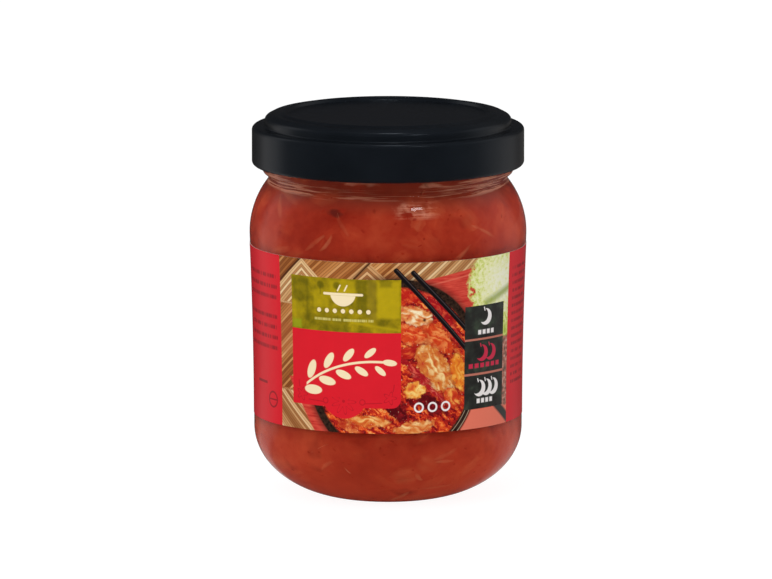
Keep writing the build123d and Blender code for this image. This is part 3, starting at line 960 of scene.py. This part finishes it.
def namePrint():
    # the red block with its scalloped foot, a sprig where the name goes, and faint line flowers
    material, tree, shader, place = newPrint("labelName")
    u, v, _ = axes(tree, place)
    flowers = [rosette(tree, place, (spot, 26.4), 1.5, 5, 0.12) for spot in (-20.9, 0.4)]
    largest = rosette(tree, place, (-10.2, 25.4), 2.9, 9, 0.13)
    flowers.append(both(tree, largest, bandMask(tree, v, 20, 26.3, 0.2)))
    beads = [discMask(tree, place, (-10.2, 25.5), 0.35)]
    beads += [ringMask(tree, place, (spot, 25.4), 0.6, 0.1) for spot in (-14.6, -5.8)]
    stems = [strokeMask(tree, place, start, end, 0.1) for start, end in (
        ((-19.0, 25.3), (-15.0, 25.1)), ((-5.4, 25.1), (-1.4, 25.3)),
        ((-21.6, 28.0), (-21.8, 29.4)), ((1.2, 28.0), (1.4, 29.4)))]
    lines = either(tree, *flowers, *beads, *stems)
    red = paint(tree, redInk(tree, place), printTones["darkRed"], lines, 0.8)
    # a sprig: a curved stem with oval leaves on both sides
    bend, reach = (-3.0, 8.0), 26.6
    leaves = [both(tree, ringMask(tree, place, bend, reach, 0.26), bandMask(tree, u, -19.6, 0.4, 0.3))]
    for i in range(9):
        angle = math.radians(127 - 5.0 * i)
        side = 1 if i % 2 else -1
        out = reach + side * 2.0
        spot = (bend[0] + out * math.cos(angle), bend[1] + out * math.sin(angle))
        turn = math.degrees(angle) - 90 + side * 38
        away = ovalAway(tree, place, spot, (2.3 - 0.1 * i, 1.05 - 0.05 * i), turn)
        leaves.append(within(tree, away, 1, 0.12))
    leaves.append(within(tree, ovalAway(tree, place, (0.4, 34.4), (1.6, 0.7), -8), 1, 0.14))
    red = paint(tree, red, printTones["cream"], either(tree, *leaves))
    foot = either(tree, slope(tree, calc(tree, "SUBTRACT", v, 24.1), 8, 0.5),
                  discMask(tree, place, (-10.1, 27.0), 5.45))
    corner = without(tree, blockMask(tree, place, 0.9, 4, 20, 26.1),
                     discMask(tree, place, (0.9, 26.1), 2.0))
    picture = colourAt(tree, pictureGroup, place)
    coatPrint(tree, shader, paint(tree, picture, red, without(tree, foot, corner)), place)
    return material


def chilliMask(tree, place, u, v):
    # a small chilli pod with its stalk up
    body = without(tree, discMask(tree, place, (u - 0.6, v), 1.85),
                   discMask(tree, place, (u - 1.5, v + 0.42), 1.6))
    stalk = strokeMask(tree, place, (u - 0.95, v + 1.5), (u - 1.15, v + 2.15), 0.14)
    return either(tree, body, stalk)


def heatPrint():
    # three dark blocks with one, two and three chilli pods, and a row of plain blocks under each
    material, tree, shader, place = newPrint("labelHeat")
    mist = cloud(tree, place, 0.3, 3.0, 0.5)
    colour = ramp(tree, mist, [(0.3, tone(34, 30, 30)), (0.55, printTones["charcoal"]),
                               (0.75, tone(66, 78, 62))])
    for level, pods, ink, count, under, left, right in (
            (43.4, (24.9,), "white", 4, 39.4, 22.0, 27.4),
            (35.3, (23.9, 26.6), "crimson", 6, 31.9, 19.4, 29.6),
            (27.4, (23.2, 25.4, 27.6), "white", 4, 23.9, 21.8, 27.2)):
        pod = either(tree, *[chilliMask(tree, place, u, level) for u in pods])
        colour = paint(tree, colour, printTones[ink], pod)
        step = (right - left) / count
        for i in range(count):
            block = blockMask(tree, place, left + step * i, left + step * (i + 0.68),
                              under + 0.15, under + 1.15, 0.2)
            colour = paint(tree, colour, printTones[ink], block)
    gaps = either(tree, blockMask(tree, place, 18, 31, 38.25, 38.7),
                  blockMask(tree, place, 18, 31, 30.4, 30.9))
    coatPrint(tree, shader, paint(tree, colour, tone(196, 118, 100), gaps), place)
    return material


def weightPrint():
    # the picture with three small rings where the weight goes
    material, tree, shader, place = newPrint("labelWeight")
    rings = either(tree, *[ringMask(tree, place, (u, 24.2), 0.95, 0.2) for u in (7.0, 10.2, 13.4)])
    picture = colourAt(tree, pictureGroup, place)
    coatPrint(tree, shader, paint(tree, picture, printTones["white"], rings), place)
    return material


def paperPrint():
    material, tree, shader, place = newPrint("labelPaper")
    colour = ramp(tree, cloud(tree, place, 1.5, 3.0, 0.6),
                  [(0.3, tone(226, 220, 210)), (0.7, tone(240, 236, 228))])
    coatPrint(tree, shader, colour, place)
    return material


def labelField(u, v):
    # which material a face of the label takes
    left, right = label["blockLeft"], label["blockRight"]
    if not label["pictureLeft"] < u < label["pictureRight"]:
        return 0
    if left < u < right and label["makerLow"] < v < label["makerHigh"]:
        return 2
    if left < u < right and label["nameLow"] < v < label["makerLow"]:
        return 3
    if label["heatLeft"] < u < label["heatRight"] and label["heatLow"] < v < label["heatHigh"]:
        return 4
    if label["weightLeft"] < u < label["weightRight"] and label["weightLow"] < v < label["weightHigh"]:
        return 5
    return 1


def sideRadius(height):
    rise = height - jar["heelHeight"]
    return jar["heelRadius"] + label["sideCurve"] - math.sqrt(label["sideCurve"] ** 2 - rise ** 2)


def makeLabel():
    mean, low, high, sunk = label["meanRadius"], label["low"], label["high"], label["sunk"]
    lapTurn = math.degrees(label["lap"] / jar["heelRadius"])
    first = label["lapMiddle"] - 360 - lapTurn / 2
    last = label["lapMiddle"] + lapTurn / 2
    uFirst, uLast = math.radians(first) * mean, math.radians(last) * mean
    bm = bmesh.new()
    bmesh.ops.create_grid(bm, x_segments=label["columns"], y_segments=label["rows"], size=0.5)
    bmesh.ops.scale(bm, vec=(uLast - uFirst, high - low, 1), verts=bm.verts)
    bmesh.ops.translate(bm, vec=((uFirst + uLast) / 2, (low + high) / 2, 0), verts=bm.verts)
    quarter = math.radians(90) * mean
    upright = [label[key] for key in ("pictureLeft", "pictureRight", "blockLeft", "blockRight", "heatLeft",
                                      "heatRight")]
    upright += [-quarter, quarter, label["weightLeft"], label["weightRight"]]
    level = [label[key] for key in ("makerLow", "makerHigh", "nameLow", "heatLow", "heatHigh", "weightLow",
                                    "weightHigh")]
    for cut, across in [((u, 0, 0), (1, 0, 0)) for u in upright] + [((0, v, 0), (0, 1, 0)) for v in level]:
        bmesh.ops.bisect_plane(bm, geom=bm.verts[:] + bm.edges[:] + bm.faces[:], dist=1e-5, plane_co=cut,
                               plane_no=across)
    bmesh.ops.solidify(bm, geom=bm.faces[:], thickness=label["paper"] + sunk)
    bmesh.ops.recalc_face_normals(bm, faces=bm.faces)
    lowest = min(vert.co.z for vert in bm.verts)
    for vert in bm.verts:
        vert.co.z -= lowest
    printMap = bm.loops.layers.uv.new("print")
    bakeMap = bm.loops.layers.uv.new("OFBake")
    for face in bm.faces:
        middle = face.calc_center_median()
        outer = middle.z > (label["paper"] + sunk) * 0.9
        face.material_index = labelField(middle.x, middle.y) if outer else 6
        for loop in face.loops:
            u, v = loop.vert.co.x, loop.vert.co.y
            loop[printMap].uv = (u, v)
            # the front half and the back half lie in two rows, the unseen side smaller in a third
            if not outer:
                x, y = 1 + (u - uFirst) * 0.5, 80 + (v - low) * 0.5
            elif middle.x < -quarter:
                x, y = 60.5 + (u - uFirst), 40.5 + (v - low)
            elif middle.x > quarter:
                x, y = 1 + (u - quarter), 40.5 + (v - low)
            else:
                x, y = 1 + (u + quarter), 1 + (v - low)
            loop[bakeMap].uv = (x / label["bakeSheet"], y / label["bakeSheet"])
    # the last end climbs over the first one, and rests on it
    lapStart = math.radians(last - lapTurn) * mean
    for vert in bm.verts:
        u, v, out = vert.co
        rise = min(1.0, max(0.0, (u - lapStart + label["lapRise"]) / label["lapRise"]))
        lift = rise * rise * (3 - 2 * rise) * label["paper"]
        if u > lapStart and out < sunk:
            lift += sunk
        radius = sideRadius(v) - sunk + out + lift
        angle = u / mean
        vert.co = Vector((radius * math.sin(angle), -radius * math.cos(angle), v)) * mm
    materials = [fieldPrint(), picturePrint(), makerPrint(), namePrint(), heatPrint(), weightPrint(),
                 paperPrint()]
    piece = finishPiece(bm, "label_wrap", materials, sharpAngle=40)
    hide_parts("label")


makeGlass()
makeBrine()
for scrapName, scrapRecipe in scraps.items():
    makeScraps(scrapName, scrapRecipe)
makeLid()
makeLabel()


studio = {
    "floorSize": 14.0, "floorDrop": 0.1, "floorTone": 0.8, "floorWhite": 0.93, "floorShade": 0.15,
    "floorGlow": 0.85, "ambient": 0.62, "insideGlass": 1.85,
    "distance": 2.4, "elevation": 9.2, "aim": (-0.45, 0, 46.0), "lens": 498.8,
    # brightness of what mirrors in the jar, by the direction round it: 0 is in front and 1 behind
    "leftGlow": [(0.0, 0.012), (0.3, 0.03), (0.45, 0.09), (0.53, 0.13), (0.59, 0.42), (0.69, 0.42),
                 (0.75, 0.12), (0.82, 0.045), (1.0, 0.012)],
    "rightGlow": [(0.0, 0.012), (0.28, 0.03), (0.42, 0.1), (0.51, 0.3), (0.62, 0.38), (0.7, 0.3), (0.78, 0.1),
                  (0.9, 0.1), (1.0, 0.03)],
    "sideTint": (1.0, 0.94, 0.9),
    "insideGlow": [(0.0, 0.66), (0.3, 0.78), (0.5, 1.32), (0.75, 1.85), (1.0, 1.5)],
    # brightness of the air by how high it is, level with the jar and straight above it
    "air": [(0.0, 0.03), (0.35, 0.022), (0.8, 0.03), (0.97, 0.09)], "airBlue": 0.002,
    "fill": {"place": (-0.35, -1.3, 0.95), "aim": (0, 0, 0.045), "size": 1.0, "watts": 11.0},
    "crown": {"place": (0.03, 0.02, 1.2), "aim": (0, 0, 0.08), "size": 0.16, "radiance": 5.0},
    "glint": {"turn": 31.0, "rise": 49.0, "away": 0.9, "aim": (0, 0, 0.07), "width": 0.13, "height": 0.05,
              "radiance": 7.0},
}


def seenDirectly(tree):
    # 1 for what the camera sees, straight or through clear glass
    path = addNode(tree, "ShaderNodeLightPath")
    through = both(tree, path.outputs["Is Transmission Ray"],
                   calc(tree, "LESS_THAN", path.outputs["Diffuse Depth"], 0.5))
    return calc(tree, "MAXIMUM", path.outputs["Is Camera Ray"], through), path.outputs["Is Glossy Ray"]


def seenInside(tree):
    # 1 for light on its way into the glass, on to what lies in it
    path = addNode(tree, "ShaderNodeLightPath")
    return both(tree, path.outputs["Is Transmission Ray"],
                calc(tree, "GREATER_THAN", path.outputs["Diffuse Depth"], 0.5))


def glowAround(tree, place, left, right, tint=(1.0, 1.0, 1.0)):
    # how bright the studio is in this direction, from its brightness by the turn away from the front
    x, y, _ = axes(tree, place)
    turn = calc(tree, "ARCTAN2", calc(tree, "ABSOLUTE", x), both(tree, y, -1.0))
    turn = calc(tree, "DIVIDE", turn, math.pi)
    sides = []
    for key in (left, right):
        stops = [(at, tuple(level * part for part in tint) + (1,)) for at, level in studio[key]]
        sides.append(ramp(tree, turn, stops))
    return paint(tree, sides[0], sides[1], calc(tree, "GREATER_THAN", x, 0.0))


def sideGlow(tree, place):
    return glowAround(tree, place, "leftGlow", "rightGlow", studio["sideTint"])


def insideGlow(tree, place):
    return scaleVector(tree, glowAround(tree, place, "insideGlow", "insideGlow"), studio["insideGlass"])


def makeWorld():
    world = bpy.data.worlds.new("studioAir")
    world.use_nodes = True
    world.cycles.sampling_method = "NONE"
    tree = world.node_tree
    direct, glossy = seenDirectly(tree)
    direction = addNode(tree, "ShaderNodeTexCoord").outputs["Generated"]
    _, ahead, up = axes(tree, direction)
    air = ramp(tree, up, [(at, (level, level, level + studio["airBlue"], 1)) for at, level in studio["air"]])
    beside = both(tree, slope(tree, ahead, -3.0, 2.9), bandMask(tree, up, -0.5, 0.7, 0.2))
    air = paint(tree, air, sideGlow(tree, direction), beside, 0.9)
    colour = paint(tree, (studio["ambient"],) * 3 + (1,), air, glossy)
    colour = paint(tree, colour, insideGlow(tree, direction), seenInside(tree))
    colour = paint(tree, colour, white, direct)
    tree.links.new(colour, tree.nodes["Background"].inputs["Color"])
    bpy.context.scene.world = world


def matte(tree, level):
    return addNode(tree, "ShaderNodeBsdfDiffuse", {"Color": (level, level, level, 1)}).outputs[0]


def glow(tree, colour, strength):
    return addNode(tree, "ShaderNodeEmission", {"Color": colour, "Strength": strength}).outputs[0]


def makeFloor():
    material = bpy.data.materials.new("paleFloor")
    material.use_nodes = True
    tree = material.node_tree
    tree.nodes.clear()
    direct, glossy = seenDirectly(tree)
    place = objectPlace(tree)
    shown = addNode(tree, "ShaderNodeAddShader", {0: glow(tree, white, studio["floorWhite"]),
                                                  1: matte(tree, studio["floorShade"])}).outputs[0]
    shader = matte(tree, studio["floorTone"])
    # what the floor is to a mirrored ray, to a ray inside the glass, and to the camera
    for mask, other in ((glossy, glow(tree, sideGlow(tree, place), 1.0)),
                        (seenInside(tree), glow(tree, insideGlow(tree, place), studio["floorGlow"])),
                        (direct, shown)):
        shader = addNode(tree, "ShaderNodeMixShader", {0: mask, 1: shader, 2: other}).outputs[0]
    addNode(tree, "ShaderNodeOutputMaterial", {"Surface": shader})
    bm = bmesh.new()
    bmesh.ops.create_grid(bm, x_segments=1, y_segments=1, size=studio["floorSize"] / 2)
    bmesh.ops.translate(bm, vec=(0, 0, -studio["floorDrop"] * mm), verts=bm.verts)
    mesh = bpy.data.meshes.new("floor")
    bm.to_mesh(mesh)
    bm.free()
    mesh.materials.append(material)
    floor = bpy.data.objects.new("floor", mesh)
    bpy.context.scene.collection.objects.link(floor)


def addLamp(name, place, aim, width, height, watts, glossy=True, diffuse=True):
    data = bpy.data.lights.new(name, "AREA")
    data.shape = "RECTANGLE"
    data.size = width
    data.size_y = height
    data.energy = watts
    lamp = bpy.data.objects.new(name, data)
    lamp.location = place
    lamp.rotation_euler = (Vector(aim) - Vector(place)).to_track_quat("-Z", "Y").to_euler()
    lamp.visible_camera = False
    lamp.visible_glossy = glossy
    lamp.visible_diffuse = diffuse
    bpy.context.scene.collection.objects.link(lamp)


def makeLights():
    fill, crown, glint = studio["fill"], studio["crown"], studio["glint"]
    addLamp("frontFill", fill["place"], fill["aim"], fill["size"], fill["size"], fill["watts"], glossy=False)
    addLamp("crownLamp", crown["place"], crown["aim"], crown["size"], crown["size"],
            crown["radiance"] * math.pi * crown["size"] ** 2, diffuse=False)
    turn, rise = math.radians(glint["turn"]), math.radians(glint["rise"])
    heading = Vector((math.sin(turn) * math.cos(rise), -math.cos(turn) * math.cos(rise), math.sin(rise)))
    addLamp("glintLamp", glint["away"] * heading, glint["aim"], glint["width"], glint["height"],
            glint["radiance"] * math.pi * glint["width"] * glint["height"], diffuse=False)


def makeCamera():
    data = bpy.data.cameras.new("view")
    data.lens = studio["lens"]
    data.sensor_width = 36
    data.clip_end = 50
    camera = bpy.data.objects.new("view", data)
    angle = math.radians(studio["elevation"])
    aim = Vector(studio["aim"]) * mm
    camera.location = aim + Vector((0, -math.cos(angle), math.sin(angle))) * studio["distance"]
    camera.rotation_euler = (aim - camera.location).to_track_quat("-Z", "Y").to_euler()
    bpy.context.scene.collection.objects.link(camera)
    bpy.context.scene.camera = camera


makeWorld()
makeFloor()
makeLights()
makeCamera()
bpy.context.scene.view_settings.view_transform = "Standard"
print("made the studio")
